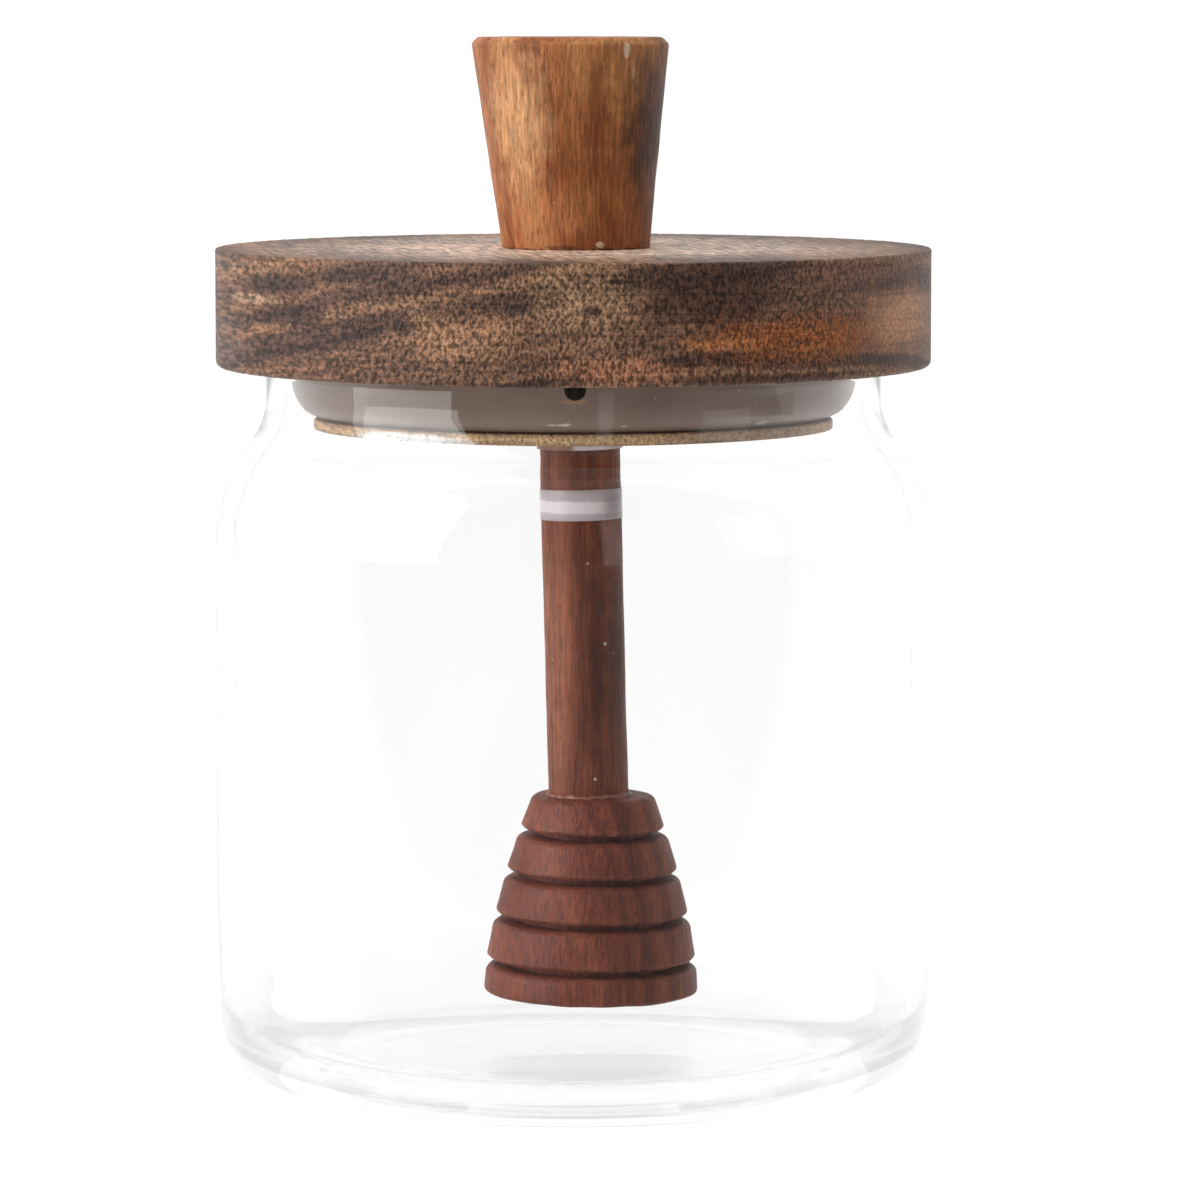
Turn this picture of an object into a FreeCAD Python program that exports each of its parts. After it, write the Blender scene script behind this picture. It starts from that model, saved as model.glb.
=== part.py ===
"""Glass honey jar with a wooden lid that carries a honey dipper, as a parametric FreeCAD document.

Millimetres, +Z up. The origin is the centre of the jar's base, on the surface that it stands on, and
the notch in the lid's seal looks along -Y. Every size is a cell of the sheet Dims, and each sketch,
primitive and placement is bound to those cells, so changing a cell changes the part.
"""

import FreeCAD, Part
import math
import os
from typing import NamedTuple

import Sketcher

# Driving dimensions, in millimetres and degrees: alias, value, what it is.
DIMENSIONS = (
    ("jar_radius", 50.0, "outside of the jar's wall"),
    ("glass_wall", 2.7, "thickness of the wall, shoulder and neck"),
    ("base_draw", 0.44, "how far the wall draws in down to the base"),
    ("base_rounding", 8.2, "outer corner between wall and base"),
    ("floor_rounding", 6.0, "inner corner between wall and floor"),
    ("taper_height", 27.0, "height below which the wall draws in"),
    ("punt_radius", 33.0, "edge of the raised middle of the base"),
    ("punt_slope", 2.5, "width of the ring that falls from the punt to the foot"),
    ("punt_height", 1.2, "rise of the base's middle"),
    ("base_thickness", 4.2, "glass between punt and floor"),
    ("rim_height", 99.7, "top of the lip, and underside of the lid"),
    ("shoulder_drop", 15.9, "corner where wall and shoulder slope meet, below the rim"),
    ("neck_drop", 7.65, "corner where shoulder slope and neck meet, below the rim"),
    ("neck_radius", 42.8, "outside of the neck"),
    ("shoulder_rounding", 20.5, "outer rounding at the shoulder"),
    ("neck_rounding", 8.0, "outer rounding at the foot of the neck"),
    ("rim_rounding", 1.2, "rounding of the fire-polished lip"),
    ("lid_inset", 0.3, "how far the lid's disc stays inside the jar's wall"),
    ("lid_thickness", 16.35, "thickness of the lid's disc"),
    ("lid_top_rounding", 0.5, "worn upper edge of the lid"),
    ("lid_low_rounding", 1.0, "lower edge of the lid"),
    ("plug_radius", 31.0, "groove of the plug that the seal sits in"),
    ("plug_rim_radius", 36.1, "wooden rim that holds the seal up"),
    ("plug_rim_thickness", 1.7, "thickness of that rim"),
    ("plug_rim_rounding", 0.4, "edges of that rim"),
    ("seal_depth", 7.2, "height of the seal below the lid"),
    ("seal_clearance", 0.1, "gap between the relaxed seal and the neck"),
    ("seal_draw", 2.0, "how far the seal's side draws in towards its foot"),
    ("seal_rounding", 5.5, "lower corner of the seal"),
    ("notch_radius", 1.45, "half-round notch at the seal's front"),
    ("notch_drop", 0.9, "centre of the notch below the lid"),
    ("notch_offset", 0.4, "notch off the middle, along X"),
    ("pivot_offset", 0.2, "dipper's axis where it leaves the lid's top, along X"),
    ("dipper_lean", 1.4, "lean of the dipper's stem, in degrees"),
    ("stem_radius", 5.6, "outside of the stem"),
    ("fit_gap", 0.1, "clearance of the stem in its bore and sockets"),
    ("stem_chamfer", 0.6, "broken edges of the stem's ends"),
    ("knob_socket", 14.0, "depth of the stem in the knob"),
    ("head_socket", 15.0, "depth of the stem in the head"),
    ("knob_low_radius", 10.2, "foot of the knob"),
    ("knob_top_radius", 13.66, "top of the knob"),
    ("knob_height", 29.15, "height of the knob above the lid"),
    ("knob_low_offset", 0.35, "foot of the knob, along X"),
    ("knob_top_offset", -0.42, "top of the knob, along X"),
    ("knob_chamfer", 0.9, "broken upper edge of the knob"),
    ("collar_gap", 0.2, "between the plug and the stem's collar"),
    ("collar_height", 2.7, "height of the stem's collar"),
    ("collar_wall", 0.45, "thickness of the collar"),
    ("band_drop", 16.8, "upper edge of the stem's band, below the rim"),
    ("band_height", 4.5, "height of the stem's band"),
    ("band_wall", 0.15, "thickness of the band"),
    ("head_base", 11.6, "underside of the dipper's head"),
    ("head_offset", 2.4, "underside of the head, along X"),
    ("head_lean", 0.7, "lean of the head against the stem's, in degrees"),
    ("head_height", 27.9, "height of the head"),
    ("head_radius", 15.05, "head's outline at its underside"),
    ("head_drop", 6.6, "how much smaller the outline is at the head's top"),
    ("head_curve", 1.6, "power by which the outline closes in"),
    ("first_rib", 3.9, "thickness of the lowest rib"),
    ("rib_pitch", 6.4, "distance between the two lowest ribs' tops"),
    ("rib_closing", 0.1, "by how much ribs come closer together, per rib squared"),
    ("groove_width", 0.95, "groove between two ribs, at its root"),
    ("groove_depth", 3.2, "groove between two ribs, inwards"),
    ("rib_chamfer", 0.9, "chamfer under each rib"),
    ("rib_rounding", 1.2, "upper edge of each rib"),
)
RIBS = 5
RIM = "Dims.rim_height"
LID_TOP = "(Dims.rim_height + Dims.lid_thickness)"
PLUG_LOW = "(Dims.rim_height - Dims.seal_depth - Dims.plug_rim_thickness)"


class Corner(NamedTuple):
    """A corner of a half outline: its place and rounding, as expressions over the sheet."""

    radius: str
    height: str
    rounding: str = ""


def make_sheet(doc):
    """Returns the sheet Dims, with a label, a value and a note in each row."""
    sheet = doc.addObject("Spreadsheet::Sheet", "Dims")
    for row, (alias, value, note) in enumerate(DIMENSIONS, start=1):
        sheet.set(f"A{row}", alias)
        sheet.set(f"B{row}", str(value))
        sheet.set(f"C{row}", note)
        sheet.setAlias(f"B{row}", alias)
    doc.recompute()
    return sheet


def origin_plane(body, role):
    """Returns the plane of a body's own origin that has the given role."""
    return next(f for f in body.Origin.OriginFeatures if f.Role == role)


def new_sketch(body, name, role):
    """Returns an empty sketch of a body, flat on one of its origin planes."""
    sketch = body.newObject("Sketcher::SketchObject", name)
    sketch.AttachmentSupport = (origin_plane(body, role), [""])
    sketch.MapMode = "FlatFace"
    return sketch


def bind(sketch, kind, element, expression):
    """Adds a dimension to a sketch and binds it to an expression. Zero distances go on the axis."""
    if expression == "0":
        axis = -2 if kind == "DistanceX" else -1
        sketch.addConstraint(Sketcher.Constraint("PointOnObject", *element, axis))
        return
    value = float(sketch.evalExpression(expression))
    origin = (-1, 1) if kind.startswith("Distance") else ()
    number = sketch.addConstraint(Sketcher.Constraint(kind, *origin, *element, value))
    sketch.setExpression(f"Constraints[{number}]", expression)


def place_point(sketch, element, corner):
    """Holds a sketch point at a corner's radius and height."""
    bind(sketch, "DistanceX", element, corner.radius)
    bind(sketch, "DistanceY", element, corner.height)


def draw_outline(sketch, corners):
    """Draws a closed, fully constrained outline whose corners may be rounded by tangent arcs."""
    count = len(corners)
    places = [
        FreeCAD.Vector(float(sketch.evalExpression(c.radius)), float(sketch.evalExpression(c.height)), 0)
        for c in corners
    ]
    roundings = [float(sketch.evalExpression(c.rounding)) if c.rounding else 0.0 for c in corners]
    ways = [(places[(i + 1) % count] - places[i]).normalize() for i in range(count)]
    turns = [math.remainder(turn_angle(ways[i]) - turn_angle(ways[i - 1]), math.tau) for i in range(count)]
    trims = [abs(r * math.tan(t / 2)) for r, t in zip(roundings, turns)]
    sides = []
    for i in range(count):
        begin = places[i] + ways[i] * trims[i]
        end = places[(i + 1) % count] - ways[i] * trims[(i + 1) % count]
        sides.append(sketch.addGeometry(Part.LineSegment(begin, end)))
    for i, corner in enumerate(corners):
        before, after = sides[i - 1], sides[i]
        if not corner.rounding:
            sketch.addConstraint(Sketcher.Constraint("Coincident", before, 2, after, 1))
            place_point(sketch, (after, 1), corner)
            continue
        point = sketch.addGeometry(Part.Point(places[i]), True)
        sketch.addConstraint(Sketcher.Constraint("PointOnObject", point, 1, before))
        sketch.addConstraint(Sketcher.Constraint("PointOnObject", point, 1, after))
        place_point(sketch, (point, 1), corner)
        arc = sketch.addGeometry(corner_arc(places[i], ways[i - 1], ways[i], roundings[i], turns[i]))
        first, last = (1, 2) if turns[i] > 0 else (2, 1)
        sketch.addConstraint(Sketcher.Constraint("Tangent", before, 2, arc, first))
        sketch.addConstraint(Sketcher.Constraint("Tangent", arc, last, after, 1))
        bind(sketch, "Radius", (arc,), corner.rounding)


def turn_angle(way):
    """Returns the direction of a flat vector, in radians."""
    return math.atan2(way.y, way.x)


def corner_arc(place, way_in, way_out, rounding, turn):
    """Returns the arc that rounds a corner where the outline turns by the given angle."""
    side = math.copysign(1.0, turn)
    start = place - way_in * (rounding * math.tan(abs(turn) / 2))
    centre = start + FreeCAD.Vector(-way_in.y, way_in.x, 0) * (rounding * side)
    angle_in = turn_angle(way_in) - side * math.pi / 2
    angle_out = turn_angle(way_out) - side * math.pi / 2
    low, high = (angle_in, angle_out) if turn > 0 else (angle_out, angle_in)
    circle = Part.Circle(centre, FreeCAD.Vector(0, 0, 1), rounding)
    return Part.ArcOfCircle(circle, low, high)


def turned_body(doc, name, corners, placement=""):
    """Returns a body turned about its own Z axis from a half outline, placed by an expression."""
    body = doc.addObject("PartDesign::Body", name)
    sketch = new_sketch(body, name + "_outline", "XZ_Plane")
    draw_outline(sketch, corners)
    turning = body.newObject("PartDesign::Revolution", name + "_turning")
    turning.Profile = sketch
    turning.ReferenceAxis = (sketch, ["V_Axis"])
    turning.Angle = 360
    sketch.Visibility = False
    if placement:
        body.setExpression("Placement", placement)
    return body


def tilted(offset, height, lean):
    """Returns the expression for a frame at a place on the XZ plane, leaning about Y."""
    return f"placement(vector({offset}; 0; {height}); rotation(vector(0; 1; 0); {lean}))"


def dipper_frame():
    """Returns the expression for the dipper's own frame: its axis, measured from the lid's top."""
    return tilted("Dims.pivot_offset", LID_TOP, "-Dims.dipper_lean")


def stem_cutter(doc, name, low, high):
    """Returns a cylinder on the dipper's axis, between two heights, that the stem fits into."""
    cutter = doc.addObject("Part::Cylinder", name)
    cutter.setExpression("Radius", "Dims.stem_radius + Dims.fit_gap")
    cutter.setExpression("Height", f"{high} - ({low})")
    along = f"({low} - {LID_TOP})"
    offset = f"Dims.pivot_offset - {along} * sin(Dims.dipper_lean)"
    height = f"{LID_TOP} + {along} * cos(Dims.dipper_lean)"
    cutter.setExpression("Placement", tilted(offset, height, "-Dims.dipper_lean"))
    return cutter


def cut(doc, name, base, tool):
    """Returns the sub-part left when a tool is cut from a base."""
    result = doc.addObject("Part::Cut", name)
    result.Base = base
    result.Tool = tool
    return result


def make_jar(doc):
    """Makes the jar: a moulded glass wall with a shallow punt, a soft shoulder and a short neck."""
    slope = "atan((Dims.jar_radius - Dims.neck_radius) / (Dims.shoulder_drop - Dims.neck_drop))"
    inner_drop = f"Dims.glass_wall * tan({slope} / 2)"
    floor = "Dims.punt_height + Dims.base_thickness"
    base = "Dims.jar_radius - Dims.base_draw"
    shoulder, neck = f"{RIM} - Dims.shoulder_drop", f"{RIM} - Dims.neck_drop"
    corners = [
        Corner("0", "Dims.punt_height"),
        Corner("Dims.punt_radius", "Dims.punt_height"),
        Corner("Dims.punt_radius + Dims.punt_slope", "0"),
        Corner(base, "0", "Dims.base_rounding"),
        Corner("Dims.jar_radius", "Dims.taper_height"),
        Corner("Dims.jar_radius", shoulder, "Dims.shoulder_rounding"),
        Corner("Dims.neck_radius", neck, "Dims.neck_rounding"),
        Corner("Dims.neck_radius", RIM, "Dims.rim_rounding"),
        Corner("Dims.neck_radius - Dims.glass_wall", RIM, "Dims.rim_rounding"),
        Corner(
            "Dims.neck_radius - Dims.glass_wall",
            f"{neck} - {inner_drop}",
            "Dims.neck_rounding + Dims.glass_wall",
        ),
        Corner(
            "Dims.jar_radius - Dims.glass_wall",
            f"{shoulder} - {inner_drop}",
            "Dims.shoulder_rounding - Dims.glass_wall",
        ),
        Corner("Dims.jar_radius - Dims.glass_wall", "Dims.taper_height"),
        Corner(f"{base} - Dims.glass_wall", floor, "Dims.floor_rounding"),
        Corner("0", floor),
    ]
    return turned_body(doc, "jar", corners)


def make_lid(doc):
    """Makes the lid: a thick disc with a grooved plug, turned in one piece and bored for the stem."""
    disc = "Dims.jar_radius - Dims.lid_inset"
    corners = [
        Corner("0", PLUG_LOW),
        Corner("Dims.plug_rim_radius", PLUG_LOW, "Dims.plug_rim_rounding"),
        Corner("Dims.plug_rim_radius", f"{RIM} - Dims.seal_depth", "Dims.plug_rim_rounding"),
        Corner("Dims.plug_radius", f"{RIM} - Dims.seal_depth"),
        Corner("Dims.plug_radius", RIM),
        Corner(disc, RIM, "Dims.lid_low_rounding"),
        Corner(disc, LID_TOP, "Dims.lid_top_rounding"),
        Corner("0", LID_TOP),
    ]
    blank = turned_body(doc, "lid_blank", corners)
    margin = "Dims.plug_rim_thickness"
    bore = stem_cutter(doc, "lid_bore", f"({PLUG_LOW} - {margin})", f"({LID_TOP} + {margin})")
    return cut(doc, "lid", blank, bore)


def make_seal(doc):
    """Makes the soft seal: a ring in the plug's groove, rounded below, with a notch at its front."""
    outside = "Dims.neck_radius - Dims.glass_wall - Dims.seal_clearance"
    foot = f"{RIM} - Dims.seal_depth"
    corners = [
        Corner("Dims.plug_radius", foot),
        Corner(f"{outside} - Dims.seal_draw", foot, "Dims.seal_rounding"),
        Corner(outside, RIM),
        Corner("Dims.plug_radius", RIM),
    ]
    ring = turned_body(doc, "seal_ring", corners)
    notch = doc.addObject("Part::Cylinder", "seal_notch")
    notch.setExpression("Radius", "Dims.notch_radius")
    notch.setExpression("Height", "Dims.neck_radius")
    notch.setExpression(
        "Placement",
        f"placement(vector(Dims.notch_offset; 0; {RIM} - Dims.notch_drop); rotation(vector(1; 0; 0); 90))",
    )
    return cut(doc, "seal", ring, notch)


def make_knob(doc):
    """Makes the knob: a round taper, wider at its top, standing level on the lid over the stem."""
    body = doc.addObject("PartDesign::Body", "knob_blank")
    foot, top, chamfer = "Dims.knob_low_offset", "Dims.knob_top_offset", "Dims.knob_chamfer"
    rings = [
        knob_ring(body, "foot", foot, "Dims.knob_low_radius", "0"),
        knob_ring(body, "edge", top, "Dims.knob_top_radius", f"Dims.knob_height - {chamfer}"),
        knob_ring(body, "top", top, f"Dims.knob_top_radius - {chamfer}", "Dims.knob_height"),
    ]
    loft = body.newObject("PartDesign::AdditiveLoft", "knob_taper")
    loft.Profile = rings[0]
    loft.Sections = rings[1:]
    loft.Ruled = True
    body.setExpression("Placement.Base.z", LID_TOP)
    socket = stem_cutter(doc, "knob_bore", RIM, f"({LID_TOP} + Dims.knob_socket)")
    return cut(doc, "knob", body, socket)


def knob_ring(body, name, offset, radius, height):
    """Returns a level circle of the knob, as a sketch at a height above the lid."""
    ring = new_sketch(body, f"knob_{name}_ring", "XY_Plane")
    ring.setExpression("AttachmentOffset.Base.z", height)
    ring.addGeometry(Part.Circle(FreeCAD.Vector(), FreeCAD.Vector(0, 0, 1), 10))
    bind(ring, "DistanceX", (0, 3), offset)
    bind(ring, "DistanceY", (0, 3), "0")
    bind(ring, "Radius", (0,), radius)
    return ring


def make_stem(doc):
    """Makes the dipper's stem: a dowel from the knob's socket, through the lid, into the head."""
    low = f"Dims.head_base + Dims.head_height - Dims.head_socket - {LID_TOP}"
    corners = [
        Corner("0", low),
        Corner("Dims.stem_radius - Dims.stem_chamfer", low),
        Corner("Dims.stem_radius", f"{low} + Dims.stem_chamfer"),
        Corner("Dims.stem_radius", "Dims.knob_socket - Dims.stem_chamfer"),
        Corner("Dims.stem_radius - Dims.stem_chamfer", "Dims.knob_socket"),
        Corner("0", "Dims.knob_socket"),
    ]
    return turned_body(doc, "stem", corners, dipper_frame())


def make_sleeve(doc, name, upper_edge):
    """Makes a thin sleeve round the stem, down from a height of the jar: its collar or its band."""
    inside, outside = "Dims.stem_radius", f"Dims.stem_radius + Dims.{name}_wall"
    top = f"{upper_edge} - {LID_TOP}"
    bottom = f"{top} - Dims.{name}_height"
    corners = [Corner(inside, bottom), Corner(outside, bottom), Corner(outside, top), Corner(inside, top)]
    return turned_body(doc, f"stem_{name}", corners, dipper_frame())


def make_head(doc):
    """Makes the dipper's head: ribs under a beehive outline, with a socket for the stem."""

    def outline(height):
        """Returns the radius of the beehive outline at a height above the head's underside."""
        return f"Dims.head_radius - Dims.head_drop * pow(({height}) / Dims.head_height; Dims.head_curve)"

    corners = [Corner("0", "0"), Corner("Dims.head_radius", "0", "Dims.rib_chamfer")]
    for rib in range(RIBS):
        top = f"Dims.first_rib + {rib} * Dims.rib_pitch - {rib * rib} * Dims.rib_closing"
        corners.append(Corner(outline(top), top, "Dims.rib_rounding"))
        if rib == RIBS - 1:
            corners.append(Corner("0", top))
            break
        root = f"{outline(top)} - Dims.groove_depth"
        under = f"{top} + Dims.groove_width"
        side = f"{under} + Dims.rib_chamfer"
        corners.append(Corner(root, top))
        corners.append(Corner(root, under))
        corners.append(Corner(f"{outline(side)} - Dims.rib_chamfer", under))
        corners.append(Corner(outline(side), side))
    place = tilted("Dims.head_offset", "Dims.head_base", "Dims.head_lean")
    blank = turned_body(doc, "head_blank", corners, place)
    socket = stem_cutter(
        doc,
        "head_bore",
        "(Dims.head_base + Dims.head_height - Dims.head_socket)",
        "(Dims.head_base + Dims.head_height + Dims.head_socket)",
    )
    return cut(doc, "head", blank, socket)


def check_document(doc, parts):
    """Raises if any object failed to compute, or if a sub-part's shape is missing or not valid."""
    for item in doc.Objects:
        if "Invalid" in item.State or "Error" in item.State:
            raise RuntimeError(f"{item.Name} is {item.State}")
        if item.TypeId == "Sketcher::SketchObject" and not item.FullyConstrained:
            raise RuntimeError(f"{item.Name} is not fully constrained")
    for part in parts:
        if part.Shape.isNull() or not part.Shape.isValid() or len(part.Shape.Solids) != 1:
            raise RuntimeError(f"{part.Label} is not one valid solid")


def main():
    """Builds the document and writes each sub-part to its own file."""
    doc = FreeCAD.newDocument("honey_jar")
    make_sheet(doc)
    parts = [
        make_jar(doc),
        make_lid(doc),
        make_seal(doc),
        make_knob(doc),
        make_stem(doc),
        make_head(doc),
        make_sleeve(doc, "collar", f"{PLUG_LOW} - Dims.collar_gap"),
        make_sleeve(doc, "band", f"{RIM} - Dims.band_drop"),
    ]
    doc.recompute()
    check_document(doc, parts)
    os.makedirs("parts", exist_ok=True)
    for part in parts:
        part.Shape.exportStep(f"parts/{part.Label}.step")
        box = part.Shape.BoundBox
        size = f"{box.XLength:.2f} x {box.YLength:.2f} x {box.ZLength:.2f} mm"
        print(f"{part.Label}: {size}, {part.Shape.Volume / 1000:.2f} cm3, up to z {box.ZMax:.2f}")


main()
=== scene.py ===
"""Looks of a glass honey jar whose wooden lid carries a ribbed honey dipper.

Metres, +Z up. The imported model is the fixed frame, and every piece here replaces one of its nodes
with a finer mesh and a procedural finish. Heights and radii come from the frame's own boxes.
"""

import logging
import math
from collections.abc import Callable, Sequence
from dataclasses import dataclass, field
from enum import Enum

import bmesh
import bpy
from bmesh.types import BMesh
from bpy.types import Material, Node, NodeSocket, NodeTree, Object
from mathutils import Matrix, Vector, noise


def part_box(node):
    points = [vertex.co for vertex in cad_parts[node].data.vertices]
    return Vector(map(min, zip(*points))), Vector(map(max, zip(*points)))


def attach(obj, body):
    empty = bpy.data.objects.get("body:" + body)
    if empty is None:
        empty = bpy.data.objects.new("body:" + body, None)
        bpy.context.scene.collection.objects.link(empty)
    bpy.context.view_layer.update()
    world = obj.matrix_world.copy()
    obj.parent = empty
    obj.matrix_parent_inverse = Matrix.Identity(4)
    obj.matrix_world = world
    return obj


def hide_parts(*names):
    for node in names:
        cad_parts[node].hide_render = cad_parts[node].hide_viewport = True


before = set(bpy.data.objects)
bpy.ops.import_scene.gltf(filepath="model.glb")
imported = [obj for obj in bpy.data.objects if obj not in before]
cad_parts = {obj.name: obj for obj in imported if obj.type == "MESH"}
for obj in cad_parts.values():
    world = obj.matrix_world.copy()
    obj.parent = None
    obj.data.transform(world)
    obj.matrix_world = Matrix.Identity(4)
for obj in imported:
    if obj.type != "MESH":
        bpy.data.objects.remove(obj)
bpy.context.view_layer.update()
BODY = "root"
MM = 0.001
SEAM_REACH = 1e-7
PATCH_EDGE_PITCH = 3.0
NOISE_SEED = 7
LOG = logging.getLogger("honey_jar")

Colour = tuple[float, float, float]
Place = tuple[float, float, float]


def srgb(red: int, green: int, blue: int) -> Colour:
    """Returns the linear colour of a display colour given as three values from 0 to 255."""
    parts = (value / 255 for value in (red, green, blue))
    return tuple(p / 12.92 if p <= 0.04045 else ((p + 0.055) / 1.055) ** 2.4 for p in parts)


# Meshes


@dataclass(frozen=True)
class Corner:
    """A corner of a half outline.

    Attributes:
        radius: Distance from the turning axis.
        height: Height along the axis.
        rounding: Radius of the arc that rounds the corner, or 0.
        steps: Segments of that arc.
    """

    radius: float
    height: float
    rounding: float = 0.0
    steps: int = 6


def rounding_cut(before: Corner, corner: Corner, after: Corner) -> float:
    """Returns how much of both sides the arc at a corner takes away.

    Args:
        before: The corner before it.
        corner: The rounded corner.
        after: The corner after it.
    """
    way_in = Vector((corner.radius - before.radius, corner.height - before.height))
    way_out = Vector((after.radius - corner.radius, after.height - corner.height))
    return corner.rounding * math.tan(way_in.angle(way_out) / 2)


def turned(corners: Sequence[Corner], turns: int = 192, closed: bool = False, rows: float = 0.0) -> BMesh:
    """Spins a half outline round the Z axis.

    Args:
        corners: The outline, from one end on the axis to the other, or a loop.
        turns: Segments round the axis.
        closed: True if the outline is a loop that stays clear of the axis.
        rows: Longest side left undivided along the outline, or 0 for any length.

    Returns:
        The mesh, closed and with its faces outwards.
    """
    mesh = bmesh.new()
    verts = [mesh.verts.new((c.radius, 0.0, c.height)) for c in corners]
    for first, second in zip(verts, verts[1:] + verts[:1] if closed else verts[1:]):
        mesh.edges.new((first, second))
    cuts = [
        rounding_cut(corners[i - 1], c, corners[(i + 1) % len(corners)]) if c.rounding else 0.0
        for i, c in enumerate(corners)
    ]
    for vert, corner, cut in zip(verts, corners, cuts):
        if cut:
            bmesh.ops.bevel(
                mesh, geom=[vert], offset=cut, offset_type="OFFSET", segments=corner.steps, profile=0.5,
                affect="VERTICES", material=-1, clamp_overlap=False,
            )
    if rows:
        for edge in list(mesh.edges):
            parts = int(edge.calc_length() / rows)
            if parts:
                bmesh.ops.subdivide_edges(mesh, edges=[edge], cuts=parts)
    bmesh.ops.spin(
        mesh, geom=list(mesh.verts) + list(mesh.edges), cent=(0.0, 0.0, 0.0), axis=(0.0, 0.0, 1.0),
        angle=math.tau, steps=turns, use_merge=True,
    )
    bmesh.ops.remove_doubles(mesh, verts=list(mesh.verts), dist=SEAM_REACH)
    bmesh.ops.recalc_face_normals(mesh, faces=list(mesh.faces))
    return mesh


def roughen(
    mesh: BMesh, amount: float, pitch: float, seed: float,
    where: Callable[[Vector], float] = lambda point: 1.0,
) -> None:
    """Moves vertices by smooth noise, as hand work and wear leave a surface.

    Args:
        mesh: The mesh to change.
        amount: Largest move.
        pitch: Distance over which the noise changes.
        seed: Place in the noise, so that pieces differ.
        where: Share of the move at a point, from 0 to 1.
    """
    shift = Vector((seed, seed * 0.7, -seed))
    for vert in mesh.verts:
        share = where(vert.co)
        if share > 0.0:
            vert.co += noise.noise_vector(vert.co / pitch + shift) * (amount * share)


def near(value: float, target: float, reach: float) -> float:
    """Returns 1 where a value meets its target, falling to 0 at a distance of reach."""
    return max(0.0, 1.0 - abs(value - target) / reach)


def mesh_object(name: str, mesh: BMesh) -> Object:
    """Returns a new object in the scene, made from a mesh that is freed."""
    data = bpy.data.meshes.new(name)
    mesh.to_mesh(data)
    mesh.free()
    return add_object(name, data)


def add_object(name: str, data: bpy.types.ID) -> Object:
    """Returns a new object in the scene, made from its data."""
    made = bpy.data.objects.new(name, data)
    bpy.context.scene.collection.objects.link(made)
    return made


def place_piece(
    mesh: BMesh, name: str, material: Material, node: str | None = None,
    crease: float = 35.0, stand: Matrix | None = None,
) -> Object:
    """Makes an object from a finished mesh and ties it to the frame.

    Args:
        mesh: The finished mesh, which is freed.
        name: The piece's name.
        material: Its finish.
        node: The CAD node that it stands for, if any.
        crease: Angle in degrees past which an edge stays sharp.
        stand: Where the mesh is moved to first, if anywhere.

    Returns:
        The new object.
    """
    if stand:
        bmesh.ops.transform(mesh, matrix=stand, verts=list(mesh.verts))
    piece = mesh_object(name, mesh)
    piece.data.materials.append(material)
    piece.data.shade_smooth()
    piece.data.set_sharp_from_angle(angle=math.radians(crease))
    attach(piece, BODY)
    if node:
        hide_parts(node)
    LOG.info("%s: %d faces", name, len(piece.data.polygons))
    return piece


# Node trees


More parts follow.
